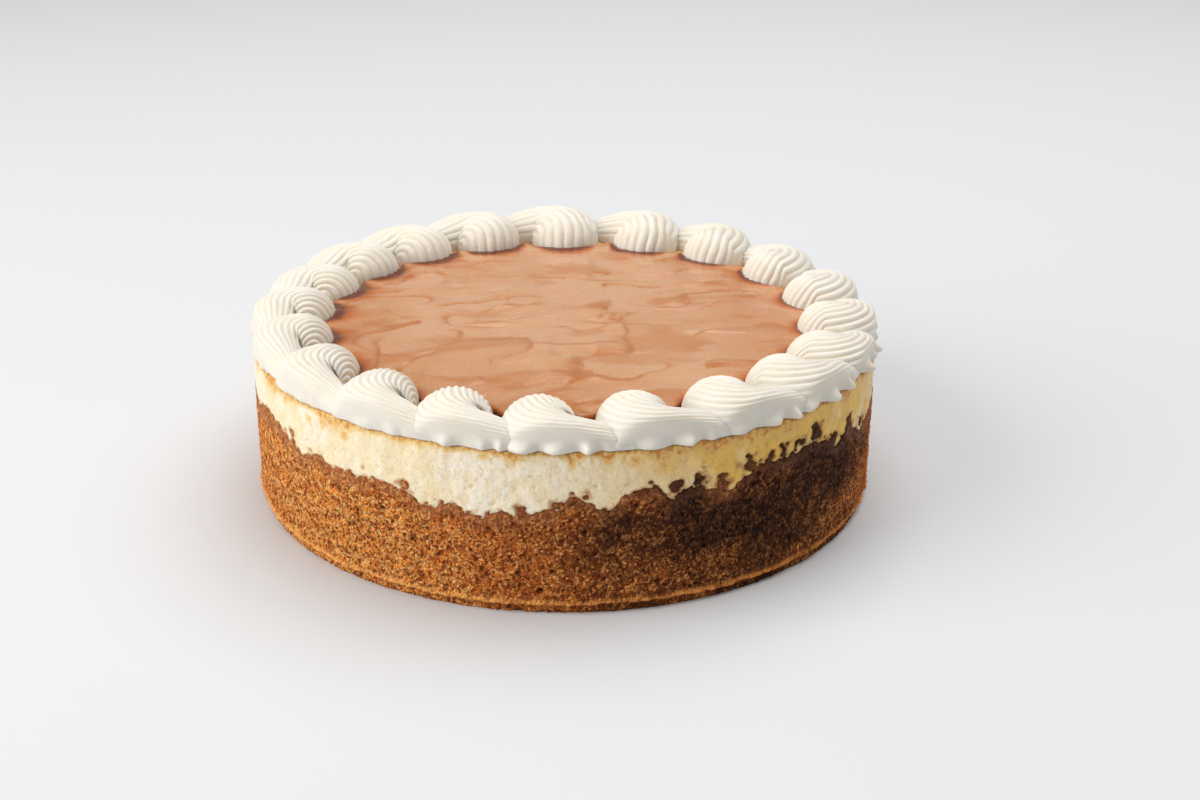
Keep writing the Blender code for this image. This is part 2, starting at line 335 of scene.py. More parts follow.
def crust_material():
    n = Nodes("crumb_crust")
    moist = n.number("moist")
    grain = n.number("grain")
    pit = n.number("pit")
    # the "toast" number carries real browning plus painted shade, dark brown on the front right away from the light
    toast_shade_mask = n.number("toast")
    toast = n.span(n.noise(9 * MM, 4.0, 0.6), 0.38, 0.64)
    baked = n.span(toast_shade_mask, 0.04, 0.40)
    dry = n.mix(baked, (0.98, 0.370, 0.076), (0.96, 0.250, 0.036))
    dry = n.mix(toast, dry, n.mix(baked, (0.94, 0.260, 0.036), (0.80, 0.165, 0.018)))
    dry = n.mix(n.span(grain, 0.55, 1.0, 0.0, 0.6), dry, (0.97, 0.41, 0.082))
    dry = n.mix(n.span(grain, 0.42, 0.0, 0.0, 0.75), dry, (0.52, 0.130, 0.020))
    # painted shade: the dry crumb goes dark brown on the side away from the light
    dry = n.mix(n.span(toast_shade_mask, 0.0, 0.95), dry, (0.060, 0.0165, 0.005))
    wet = n.mix(n.span(grain, 0.2, 0.9), (0.42, 0.122, 0.034), (0.64, 0.215, 0.064))
    # painted shade on the soaked band as well
    wet = n.mix(n.math("MULTIPLY", toast_shade_mask, 0.93), wet, (0.058, 0.017, 0.006))
    colour = n.mix(moist, dry, wet)
    keep = n.math("SUBTRACT", 1.0, n.math("MULTIPLY", moist, 0.55))
    # the grain specks, gaps, pits and lip below also go darker with painted shade on that side
    for size, low_l, low_d, amount in ((1.35 * MM, 0.60, 0.64, 0.85), (0.85 * MM, 0.62, 0.60, 0.80)):
        split = n.add("ShaderNodeSeparateColor")
        n.link(n.grains(size, "F1", "Color"), split.inputs["Color"])
        light = n.math("MULTIPLY", n.span(split.outputs["Red"], low_l, 1.0, 0.0, amount), keep)
        dark = n.math("MULTIPLY", n.span(split.outputs["Green"], low_d, 1.0, 0.0, amount + 0.22), keep)
        colour = n.mix(light, colour, n.mix(n.span(toast_shade_mask, 0.50, 1.0), n.mix(baked, (0.98, 0.58, 0.200), (0.96, 0.400, 0.120)), (0.22, 0.080, 0.024)))
        colour = n.mix(dark, colour, n.mix(toast_shade_mask, (0.30, 0.062, 0.010), (0.012, 0.004, 0.002)))
    # painted shade in the gaps between the crumb grains
    gap_shade = n.math("MULTIPLY", n.span(n.grains(1.1 * MM, "DISTANCE_TO_EDGE"), 0.13, 0.0, 0.0, 0.55), keep)
    colour = n.mix(gap_shade, colour, n.mix(toast_shade_mask, (0.26, 0.060, 0.010), (0.012, 0.004, 0.002)))
    # painted shade in the pits, the grooves between grains and the foot under the lip
    colour = n.mix(pit, colour, n.mix(toast_shade_mask, (0.130, 0.028, 0.006), (0.014, 0.005, 0.002)))
    # painted highlight: the lip's ledge is lighter, as if it caught the light
    colour = n.mix(n.number("lip"), colour, n.mix(toast_shade_mask, (0.98, 0.45, 0.125), (0.78, 0.25, 0.052)))
    n.set(
        Base_Color=colour,
        Roughness=n.math("SUBTRACT", 0.86, n.math("MULTIPLY", moist, 0.34)),
        Specular_IOR_Level=0.14,
    )
    small = n.bump(n.grains(1.1 * MM), 0.9 * MM, 1.0)
    n.tree.nodes[-1].invert = True
    grit = n.bump(n.noise(0.5 * MM, 3.0, 0.7), 0.28 * MM, 0.8, small)
    n.link(grit, n.shader.inputs["Normal"])
    return n.material


# ------------------------------------------------------------------ the side
EDGE_WAVES = (
    (257.0, 12.0, -5.5), (203.0, 12.0, 3.2), (315.0, 11.0, 6.0),
    (282.5, 3.0, 6.0), (291.5, 3.2, 3.2), (271.0, 1.7, 5.0),
    (304.0, 2.4, 3.4), (323.0, 1.8, -3.2), (337.0, 5.0, -3.4),
    (238.0, 3.5, 1.6), (20.0, 14.0, 3.0), (62.0, 9.0, -3.0),
    (95.0, 13.0, 3.4), (128.0, 7.0, -3.2), (160.0, 12.0, 2.6),
)
# Crumb clusters standing in the filling: angle, height above the edge, radius (mm).
CLUSTERS = (
    (262.8, 2.6, 2.0), (268.6, 1.6, 1.7), (273.2, 2.2, 1.8), (288.2, 2.0, 2.6),
    (292.6, 3.0, 2.5), (296.0, 1.4, 2.4), (301.5, 2.4, 2.8), (305.6, 3.6, 2.0), (309.0, 2.6, 2.6),
    (313.5, 2.2, 2.6), (317.0, 3.0, 2.8), (322.5, 1.8, 2.6), (329.0, 2.0, 2.6), (335.0, 2.4, 2.0), (243.0, 1.8, 1.2), (216.0, 3.0, 1.4), (28.0, 3.0, 2.0),
    (55.0, 2.0, 1.6), (104.0, 3.0, 2.0), (141.0, 2.4, 1.8), (176.0, 2.8, 1.6),
)
LIP_LOW, LIP_HIGH = 3.3 * MM, 4.3 * MM
SIDE_R = CAKE_R - 0.25 * MM


def turn_from(a, b):
    return (a - b + 180.0) % 360.0 - 180.0


def wall_edge(angle):
    """Mean height of the ragged crumb edge, as the CAD has it."""
    height = np.full(np.shape(angle), WALL_EDGE)
    for middle, half_width, rise in EDGE_WAVES:
        x = turn_from(angle, middle) / half_width
        height = height + rise * MM * np.exp(-x * x)
    turn = np.radians(angle)
    for waves, size, start in ((23, 0.55, 0.3), (37, 0.50, 1.9), (51, 0.45, 4.0), (68, 0.35, 2.2)):
        height = height + size * MM * np.sin(waves * turn + start)
    return height


def toast_and_shade(angle):
    """How dark the side is at an angle: 0 golden, 1 dark brown; real uneven browning plus painted shade on the side
    away from the light.
    """
    angles = (0.0, 40.0, 80.0, 120.0, 160.0, 200.0, 225.0, 240.0, 252.0, 266.0, 282.0, 300.0, 316.0, 330.0, 342.0, 360.0)
    values = (0.32, 0.45, 0.35, 0.45, 0.20, 0.0, 0.02, 0.10, 0.24, 0.50, 0.84, 1.0, 1.0, 0.84, 0.50, 0.32)
    return np.interp(np.asarray(angle) % 360.0, angles, values)


def on_side(angle, z, radius=None):
    r = CAKE_R if radius is None else radius
    turn = np.radians(angle)
    return np.stack([r * np.cos(turn), r * np.sin(turn), z + 0 * turn], axis=-1)


def crumb_mass(angle, z):
    """The pressed crumb alone, before its loose clusters."""
    p = on_side(angle, z)
    reach = wall_edge(angle) - z
    reach = reach + 2.8 * MM * fbm(p, 7.5 * MM, 3, 11, 0.6) + 1.9 * MM * fbm(p, 2.2 * MM, 2, 12)
    near, second, tag = cells(p, 2.1 * MM, 13)
    return reach + (tag - 0.4) * 1.6 * MM * np.clip((second - near) * 2.5, 0, 1)


def crumb_top():
    """Height of the crumb's top round the whole side, without single spikes."""
    first = np.linspace(0.0, 360.0, 1440, endpoint=False)[:, None]
    tries = wall_edge(first) + np.linspace(-5.0, 5.0, 41) * MM
    solid = crumb_mass(first + 0 * tries, tries) > 0
    top = np.where(solid, tries, -1.0).max(axis=1)
    top = np.maximum(top, wall_edge(first[:, 0]) - 5.0 * MM)
    near = np.stack([np.roll(top, step) for step in range(-3, 4)])
    return first[:, 0], np.median(near, axis=0)


def crumb_reach(angle, z):
    """How far a place lies inside the crumb: metres, below zero in the filling."""
    p = on_side(angle, z)
    reach = crumb_mass(angle, z)
    # nothing of the filling shows again below the top of the crumb
    turns, top = CRUMB_TOP
    reach = np.maximum(reach, np.interp(angle % 360.0, turns, top, period=360.0) - z - 0.9 * MM)
    for middle, above, radius in CLUSTERS:
        across = np.radians(turn_from(angle, middle)) * CAKE_R
        up = z - wall_edge(np.array(middle)) - above * MM
        lump = radius * MM * (0.95 + 1.3 * fbm(p, 2.6 * MM, 2, 14)) - np.hypot(across, up * 0.9)
        reach = np.maximum(reach, lump)
    # single crumbs scattered just over the edge
    near, second, tag = cells(p, 3.4 * MM, 15)
    over = z - wall_edge(angle)
    lone = (0.10 + 0.14 * tag + 0.16 * noise(p, 1.1 * MM, 16)) * 3.4 * MM - near * 3.4 * MM
    lone = np.where((tag > 0.76) & (over > 0.4 * MM) & (over < 4.5 * MM), lone, -1.0)
    return np.maximum(reach, lone)


CRUMB_TOP = crumb_top()


def crumb_relief(p, angle, z):
    """Height of the crumb surface and, for the colours, a grain number and painted shade in its pits and grooves."""
    n1, s1, t1 = cells(p, 1.25 * MM, 21)
    n2, s2, t2 = cells(p, 2.3 * MM, 22)
    n3, s3, t3 = cells(p, 4.6 * MM, 23)
    height = 0.40 * MM * (0.55 - n1) + 0.30 * MM * (t1 - 0.5) * np.clip((s1 - n1) * 3, 0, 1)
    height = height + 0.34 * MM * (0.5 - n2) + 0.24 * MM * (t2 - 0.5)
    height = height + 0.26 * MM * fbm(p, 8 * MM, 3, 24)
    hole2 = (t2 < 0.07) * smooth_step((0.46 - n2) / 0.2)
    hole3 = (t3 < 0.030) * smooth_step((0.30 - n3) / 0.14)
    hole1 = (t1 < 0.12) * smooth_step((0.55 - n1) / 0.2)
    height = height - 0.45 * MM * hole1 - 0.75 * MM * hole2 - 1.0 * MM * hole3
    # the pit number darkens the colour: painted shade in the holes and grooves
    pit = np.clip(0.7 * hole1 + 0.85 * hole2 + 0.95 * hole3, 0, 1)
    groove_shade = smooth_step((0.20 - (s1 - n1)) / 0.20)
    pit = np.maximum(pit, 0.5 * groove_shade * (t2 < 0.6))
    return height, t1, pit


def make_crust(material):
    whole_nu = 1520
    up = 92
    share = np.linspace(0.0, 1.0, up)
    halves = []
    for name, first in (("crust_left", 90.0), ("crust_right", 270.0)):
        angle = first + np.linspace(0.0, 180.0, whole_nu // 2 + 1)[:, None] + 0.0 * share
        edge = wall_edge(angle)
        foot = 7  # rows below the lip
        z = np.empty_like(angle)
        z[:, :foot] = np.linspace(0.0, LIP_LOW, foot)
        z[:, foot] = LIP_LOW + 0.25 * MM
        rest = np.linspace(0.0, 1.0, up - foot - 1)
        z[:, foot + 1 :] = LIP_LOW + 0.55 * MM + rest * (edge[:, :1] + 7.6 * MM - LIP_LOW - 0.55 * MM)
        p = on_side(angle, z)
        lip_wave = 0.85 * MM * fbm(on_side(angle, 0 * z), 6 * MM, 4, 31, 0.65)
        z_moved = z + lip_wave * np.exp(-(((z - LIP_LOW) / (2.2 * MM)) ** 2))
        height, grain, pit = crumb_relief(p, angle, z)
        reach = crumb_reach(angle, z)
        radius = np.full(angle.shape, CAKE_R - 0.05 * MM)
        # the foot is set back under a ragged lip
        back = 1.0 - between(z, LIP_LOW - 0.3 * MM, LIP_LOW + 0.35 * MM)
        radius -= back * (1.05 * MM + 0.35 * MM * fbm(p, 6 * MM, 2, 32))
        lip = np.exp(-(((z - LIP_LOW - 0.8 * MM) / (0.95 * MM)) ** 2))
        radius += lip * (0.46 * MM + 0.80 * MM * fbm(p, 2.4 * MM, 2, 33))
        radius += height * np.where(z < LIP_LOW, 0.7, 1.0)
        # smooth and soaked near the edge, then down behind the filling
        soaked = 1.0 - between(reach, 1.0 * MM, 4.5 * MM)
        radius = radius - height * 0.45 * soaked
        proud = np.clip(reach / (0.75 * MM), -1.0, 1.0)
        radius = np.where(
            proud < 1.0,
            np.minimum(radius, SIDE_R + 0.28 * MM + 0 * radius) * (proud + 1) / 2
            + (SIDE_R - 1.5 * MM) * (1 - proud) / 2,
            radius,
        )
        turn = np.radians(angle)
        points = np.stack([radius * np.cos(turn), radius * np.sin(turn), z_moved], axis=-1)
        points[:, 0, 2] = 0.0
        # close the top inwards and the bottom to the middle
        def ring(r, height_):
            t = turn[:, :1]
            return np.stack([r * np.cos(t), r * np.sin(t), height_ + 0 * t], axis=-1)
        inner = ring(CAKE_R - 5 * MM, points[:, -1:, 2])
        floor_edge = ring(CAKE_R - 5 * MM, 7 * MM)
        points = np.concatenate(
            [ring(1e-5, 0.0), ring(CAKE_R * 0.6, 0.0), points, inner, floor_edge, ring(1e-5, 7 * MM)],
            axis=1,
        )
        def pad(values, low=0.0):
            side = np.full((values.shape[0], 1), low)
            return np.concatenate([side, side, values, side, side, side], axis=1)
        mesh = grid_mesh(name, points)
        tint(mesh, "grain", pad(grain, 0.5))
        # painted shade in the pits, and painted shade on the foot set back under the lip
        pit = np.maximum(pit * (1 - 0.75 * soaked), 0.10 * back)
        tint(mesh, "pit", pad(pit))
        wet = 1.0 - between(reach + 2.2 * MM * fbm(p, 5 * MM, 2, 34), 2.4 * MM, 7.0 * MM)
        tint(mesh, "moist", pad(wet))
        # real uneven browning plus painted shade: darkest on the front right, away from the light
        toast = toast_and_shade(angle) * (0.80 + 0.20 * between(z, 5 * MM, 30 * MM))
        toast = toast * (0.98 + 0.5 * fbm(p, 14 * MM, 3, 35))
        tint(mesh, "toast", pad(np.clip(toast, 0, 1)))
        # painted highlight along the lip's ledge
        tint(mesh, "lip", pad(np.clip(lip * (0.95 + 1.7 * fbm(p, 3.0 * MM, 3, 36)), 0, 1) * (1 - 0.45 * pit)))
        obj = add_object(name, mesh, material)
        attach(obj, "root")
        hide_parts("crust")
        halves.append(obj)
    return halves


def make_filling(material):
    nu, nv = 960, 52
    angle = np.linspace(0.0, 360.0, nu, endpoint=False)[:, None] + np.zeros(nv)
    edge = wall_edge(angle)
    share = np.linspace(0.0, 1.0, nv)
    low = edge - 6.5 * MM
    corner = 1.5 * MM
    z = low + share * (TOP - corner - low)
    p = on_side(angle, z)
    tall = p * np.array([1.0, 1.0, 0.38])
    height = 0.40 * MM * fbm(tall, 7 * MM, 3, 41) + 0.24 * MM * fbm(p, 2.6 * MM, 3, 42)
    near, second, tag = cells(p, 4.2 * MM, 43)
    pit = (tag < 0.16) * smooth_step((0.26 - near) / 0.16)
    near2, second2, tag2 = cells(p * np.array([1, 1, 0.6]), 8.0 * MM, 44)
    tear = (tag2 < 0.20) * smooth_step((0.34 - near2) / 0.2)
    height = height - 0.7 * MM * pit - 0.45 * MM * tear
    radius = SIDE_R + height * between(TOP - z, 0.0, 5 * MM)
    reach = crumb_reach(angle, z)
    radius = radius - 1.3 * MM * between(reach, -0.1 * MM, 0.6 * MM)
    turn = np.radians(angle)
    rows = [np.stack([radius * np.cos(turn), radius * np.sin(turn), z], axis=-1)]
    patch = between(fbm(tall, 11 * MM, 4, 45, 0.6) + 0.25 * tear + 0.05, -0.35, 0.50)
    # painted shade: the pits take the darker, yellower patch colour
    patch = patch + 0.45 * pit
    under = (TOP - z) / MM
    thick = 1.7 + 2.4 * np.clip(fbm(on_side(angle, 0 * z), 16 * MM, 3, 46) + 0.15, 0, 1) * 2
    brown = np.exp(-((under / thick) ** 1.6))
    drip = np.clip(fbm(p * np.array([1, 1, 0.16]), 4.5 * MM, 3, 47) - 0.06, 0, 1) * 2.6 * between(angle, 215.0, 285.0)
    brown = np.clip(brown * 1.15 + drip * np.exp(-((under / 5.5) ** 2)), 0, 1)
    for middle, down, size in (
        (206.5, 3.0, 2.6), (214.5, 3.6, 2.0), (226.0, 4.2, 3.0), (231.0, 5.6, 2.4), (222.0, 5.6, 1.8),
        (257.0, 2.4, 2.0), (281.0, 4.0, 3.0), (286.0, 7.0, 3.4), (299.0, 3.0, 3.0), (312.0, 4.0, 3.2),
        (325.0, 3.4, 3.0), (20.0, 4.0, 3.0), (70.0, 3.0, 3.0), (110.0, 4.0, 2.6), (150.0, 3.0, 3.0),
    ):
        x = np.radians(turn_from(angle, middle)) * CAKE_R / (size * MM)
        y = (under - down) / size
        brown = np.maximum(brown, 0.75 * np.exp(-(x * x + y * y)))
    stain = between(reach + 1.1 * MM * fbm(p, 2.4 * MM, 2, 49), -1.5 * MM, 0.3 * MM) * 0.85
    # the rounded corner, then the top under the cream
    extra_r, extra_z = [], []
    for k in range(1, 5):
        turned = math.pi / 2 * k / 4
        extra_r.append(corner * (1 - math.cos(turned)))
        extra_z.append(TOP - corner + corner * math.sin(turned))
    extra_r += [6 * MM, 14 * MM, 26 * MM, CAKE_R - 0.3 * MM]
    extra_z += [TOP] * 4
    for r_in, height_ in zip(extra_r, extra_z):
        r = radius[:, -1:] - r_in
        if r_in > 20 * MM:
            r = np.full_like(r, CAKE_R - r_in)
        t = turn[:, :1]
        rows.append(np.stack([r * np.cos(t), r * np.sin(t), height_ + 0 * t], axis=-1))
    extra = len(extra_r)
    # close underneath, out of sight
    t = turn[:, :1]
    bottom = [
        np.stack([0.3 * MM * np.cos(t), 0.3 * MM * np.sin(t), low[:, :1] * 0 + 8 * MM], axis=-1),
        np.stack([(CAKE_R - 5 * MM) * np.cos(t), (CAKE_R - 5 * MM) * np.sin(t), low[:, :1] * 0 + 8 * MM], axis=-1),
    ]
    points = np.concatenate(bottom + rows, axis=1)

    def pad(values, top):
        return np.concatenate(
            [values[:, :1] * 0, values[:, :1] * 0, values] + [np.full((nu, 1), top)] * extra, axis=1
        )

    mesh = grid_mesh("filling_body", points, wrap_u=True)
    tint(mesh, "patch", pad(np.clip(patch, 0, 1), 0.4))
    tint(mesh, "brown", pad(brown, 0.9))
    tint(mesh, "stain", pad(stain, 0.0))
    # warm: painted warm shade, strongest on the front right away from the light and a little in the pits, with some
    # real browning
    warm = np.interp(
        angle % 360.0,
        (0.0, 60.0, 120.0, 170.0, 215.0, 262.0, 276.0, 290.0, 305.0, 330.0, 345.0, 360.0),
        (0.40, 0.25, 0.35, 0.20, 0.12, 0.08, 0.18, 0.62, 1.0, 0.98, 0.62, 0.40),
    )
    warm = warm * (1.0 + 0.8 * fbm(p, 9 * MM, 3, 48)) + 0.10 * pit
    tint(mesh, "warm", pad(np.clip(warm, 0, 1), 0.2))
    obj = add_object("filling_body", mesh, material)
    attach(obj, "root")
    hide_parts("filling")
    return obj


# ------------------------------------------------------------------ caramel
def caramel_outline(angles):
    """The CAD caramel's radius at each angle, read from model.glb."""
    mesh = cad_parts["caramel"].data
    co = np.empty(len(mesh.vertices) * 3)
    mesh.vertices.foreach_get("co", co)
    co = co.reshape(-1, 3)
    turn = np.arctan2(co[:, 1], co[:, 0])
    far = np.hypot(co[:, 0], co[:, 1])
    keep = far > 0.05
    turn, far = turn[keep], far[keep]
    step = np.round(turn / (2 * math.pi) * 120).astype(int) % 120
    table = np.zeros(120)
    np.maximum.at(table, step, far)
    known = np.nonzero(table)[0]
    return np.interp(angles, known / 120 * 2 * math.pi, table[known], period=2 * math.pi)


def spatula(x, y):
    """Height of the smoothed caramel (metres) and how dark it is: its streaks, and darker towards the left, right and
    front.
    """
    flat = np.stack([x, y, 0 * x], axis=-1)
    bend = np.stack([6 * MM * fbm(flat, 50 * MM, 2, 60), 13 * MM * fbm(flat, 60 * MM, 2, 61), 0 * x], axis=-1)
    p = flat + bend
    long_way = p * np.array([0.36, 1.0, 1.0])
    height = 0.55 * MM * fbm(long_way, 19 * MM, 3, 62)
    ridge = 1.0 - np.abs(noise(long_way + 0.3, 14 * MM, 63)) * 3.4
    ridge = np.clip(ridge, 0, 1) ** 2 * between(noise(p, 26 * MM, 64), -0.05, 0.45)
    height = height + 0.40 * MM * ridge
    fine = fbm(p * np.array([0.32, 1.0, 1.0]), 4.2 * MM, 3, 65)
    height = height + 0.07 * MM * fine
    # each stroke leaves a low step where it overlaps the one before
    streak = 0.0 * x
    lean = math.radians(17.0)
    across = np.stack(
        [p[..., 0] * math.cos(lean) + p[..., 1] * math.sin(lean), p[..., 1] * math.cos(lean) - p[..., 0] * math.sin(lean), 0 * x],
        axis=-1,
    )
    across = across + 5 * MM * np.stack([noise(flat, 23 * MM, 69), noise(flat, 19 * MM, 70), 0 * x], axis=-1)
    for size, steps, tall, seed in ((52 * MM, 4.4, 0.80, 66), (30 * MM, 2.4, 0.40, 68)):
        level = steps * fbm(across * np.array([0.50, 1.0, 1.0]), size, 3, seed, 0.45) + 20.0
        part = level - np.floor(level)
        shown = between(noise(p, 20 * MM, seed + 1), -0.45, 0.15)
        height = height + tall * MM * (smooth_step(np.clip(part / 0.16, 0, 1)) - part) * shown
        streak = np.maximum(streak, np.exp(-(((part - 0.05) / 0.11) ** 2)) * shown)
        streak = np.maximum(streak, 0.55 * (1 - part) ** 3 * shown)
    blot = between(fbm(p * np.array([0.45, 1.0, 1.0]), 16 * MM, 4, 67, 0.6), 0.0, 0.5)
    streak = np.maximum(streak * (0.75 + 0.5 * fine), 0.55 * blot)
    # the caramel is also made darker towards the left, right and front
    sides = np.maximum(between(np.abs(x + 6 * MM), 42 * MM, 82 * MM), 0.7 * between(-y - 0.4 * x, 34 * MM, 76 * MM))
    return height, np.clip(streak + 0.42 * sides, 0, 1), fine


def cream_inside(angles):
    """Radius at which the cream's inner foot stands on the caramel, at each angle."""
    table = np.full(360, CAKE_R)
    for number in range(1, len(SHELLS) + 1):
        placed, _ = shell_placed(number)
        flat = placed[placed[..., 2] < TOP + 5 * MM]
        far = np.hypot(flat[:, 0], flat[:, 1])
        step = np.round(np.degrees(np.arctan2(flat[:, 1], flat[:, 0]))).astype(int) % 360
        np.minimum.at(table, step, far)
    return np.interp(np.degrees(angles) % 360.0, np.arange(361.0), np.append(table, table[0]))


# Marks where the spatula was lifted: middle x, y, length, width, turn (degrees), height (mm).
LIFTS = (
    (-14.0, 9.0, 34.0, 7.0, 4.0, 0.9), (-30.0, -9.0, 24.0, 5.0, 8.0, 0.8), (26.0, -12.0, 44.0, 8.0, -8.0, 0.7),
    (5.0, -32.0, 50.0, 7.0, 3.0, 0.7), (-48.0, -30.0, 26.0, 6.0, 20.0, 0.6), (46.0, 18.0, 30.0, 8.0, 14.0, 0.5),
    (22.0, 40.0, 36.0, 8.0, -6.0, 0.5), (-28.0, 44.0, 30.0, 7.0, 10.0, 0.5),
)


def make_caramel(material):
    nu, nv = 540, 92
    angle = np.linspace(0.0, 2 * math.pi, nu, endpoint=False)
    outline = caramel_outline(angle) + 2.6 * MM
    share = np.linspace(0.0, 1.0, nv) ** 0.82
    r = outline[:, None] * share[None, :]
    turn = angle[:, None] + 0 * r
    x, y = r * np.cos(turn), r * np.sin(turn)
    height, streak, fine = spatula(x, y)
    for cx, cy, long_, wide, lean, tall in LIFTS:
        c, s = math.cos(math.radians(lean)), math.sin(math.radians(lean))
        dx, dy = x - cx * MM, y - cy * MM
        along = (dx * c + dy * s) / (long_ * MM / 2)
        across = (-dx * s + dy * c) / (wide * MM / 2) - 0.35 * along * along
        # one steep side and one gentle side, like a lifted edge
        profile = np.where(across > 0, np.exp(-((across / 0.45) ** 2)), np.exp(-((across / 1.5) ** 2)))
        fade = np.exp(-(along**4) * 2.0)
        height = height + tall * 0.55 * MM * profile * fade
        streak = np.maximum(streak, 0.95 * np.exp(-(((across - 0.45) / 0.35) ** 2)) * fade)
    to_edge = (outline[:, None] - 2.6 * MM - r) / MM
    calm = between(to_edge, -1.0, 6.0)
    to_cream = np.maximum((cream_inside(angle)[:, None] - r) / MM, 0.0)
    z = CARA_TOP - 0.15 * MM + height * (0.25 + 0.75 * calm) + 0.35 * MM * (1 - between(to_edge, -1.5, 2.0))
    # painted shade of the cream shells on the caramel, darkest against their feet, most at the back and the left
    turned = np.degrees(turn) % 360.0
    back_left_shade = 0.35 + 0.65 * between(90.0 - np.abs(turn_from(turned, 118.0)), -25.0, 40.0)
    close = to_cream * (1.0 + 0.35 * fine)
    edge = np.exp(-((close / (1.3 + 3.2 * back_left_shade)) ** 1.4)) * (0.45 + 0.60 * back_left_shade)
    edge = np.clip(edge + 0.30 * back_left_shade * np.exp(-((close / 11.0) ** 1.5)), 0, 1)
    points = np.stack([x, y, z], axis=-1)
    down = points[:, -1:].copy()
    down[..., 2] = TOP + 0.3 * MM
    under = down * np.array([0.0001, 0.0001, 1.0])
    points = np.concatenate([points, down, under], axis=1)
    pad = lambda v, last: np.concatenate([v, np.full((nu, 2), last)], axis=1)
    mesh = grid_mesh("caramel_glaze", points, wrap_u=True, flip=True)
    tint(mesh, "streak", pad(np.clip(streak, 0, 1), 0.5))
    # edge: painted shade; the skirt hidden under the shells is fully shaded
    tint(mesh, "edge", pad(edge, 1.0))
    obj = add_object("caramel_glaze", mesh, material)
    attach(obj, "root")
    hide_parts("caramel")
    return obj


# ------------------------------------------------------------------ cream
RING_R, RING_SHIFT = 105.0 * MM, 2.6 * MM
RIDGE_DEPTH = 1.05 * MM
HEAD_HEIGHT, TAIL_HEIGHT = 12.6 * MM, 5.6 * MM
HEAD_IN, HEAD_OUT = 12.8 * MM, 13.4 * MM
TAIL_IN, TAIL_OUT = 5.0 * MM, 5.6 * MM
HEAD_REACH = 12.4 * MM
STRAIGHT_RUN, CURL_RUN = 9.5 * MM, 19.0 * MM
CURL_ANGLE, TAIL_LEAN = math.radians(95.0), math.radians(6.0)
HEAD_MIDDLE = (0.0, 2.6 * MM)
HEAD_START = -13.5 * MM
RIM_LEAN = 2.0 * MM
RUN_ON = 0.30
GROWTH = 0.42
FAN = 0.30  # how far the ridges slant down the outer flank
SHELLS = (
    (257.7, 1.00), (275.7, 1.02), (294.0, 1.04), (311.4, 1.02),
    (329.0, 0.98), (346.9, 0.96), (5.2, 0.97), (24.0, 1.00),
    (43.5, 1.04), (62.5, 1.10), (83.0, 1.16), (102.5, 1.10),
    (120.5, 1.05), (137.5, 1.02), (153.5, 0.98), (169.5, 0.95),
    (186.5, 0.96), (205.2, 0.98), (224.4, 1.00), (241.5, 1.00),
)


def shell_path(count=400):
    run = STRAIGHT_RUN + CURL_RUN
    length = np.linspace(0.0, run, count)
    bend = np.clip((length - STRAIGHT_RUN) / CURL_RUN, 0.0, 1.0)
    bend = 0.5 * bend + 0.5 * smooth_step(bend)
    heading = math.pi + TAIL_LEAN - (CURL_ANGLE + TAIL_LEAN) * bend
    step = np.diff(length)
    u = np.concatenate([[0.0], np.cumsum(np.cos(heading[:-1]) * step)])
    v = np.concatenate([[0.0], np.cumsum(np.sin(heading[:-1]) * step)])
    u += HEAD_MIDDLE[0] - u[-1]
    v += HEAD_MIDDLE[1] - v[-1]
    return length / run, u, v, heading


PATH = shell_path()


def smooth_shell(across, along):
    share, path_u, path_v, path_heading = PATH
    on_path = np.clip(along, 0.0, 1.0)
    run_on = np.clip(-along, 0.0, 1.0)  # the tail runs on under the next head
    fold = np.clip(along - 1.0, 0.0, 1.0) * math.pi / 2.0
    grow = smooth_step(on_path * 0.9 + 0.1) ** GROWTH
    side = np.cos(math.pi * across)
    arch = np.sin(math.pi * across)
    half_in = TAIL_IN + (HEAD_IN - TAIL_IN) * grow
    half_out = TAIL_OUT + (HEAD_OUT - TAIL_OUT) * grow
    half = np.where(side > 0.0, half_in, half_out)
    tall = TAIL_HEIGHT + (HEAD_HEIGHT - TAIL_HEIGHT) * grow
    heading = np.interp(on_path, share, path_heading)
    reach = HEAD_REACH * arch**0.9 * np.sin(fold) - run_on * (STRAIGHT_RUN + CURL_RUN)
    u = np.interp(on_path, share, path_u)
    v = np.interp(on_path, share, path_v)
    u = u + np.cos(heading) * reach + np.sin(heading) * half * side
    v = v + np.sin(heading) * reach - np.cos(heading) * half * side
    z = tall * arch**0.8 * np.cos(fold) * (1.0 - 1.6 * run_on)
    return np.stack([u, v, z], axis=-1)


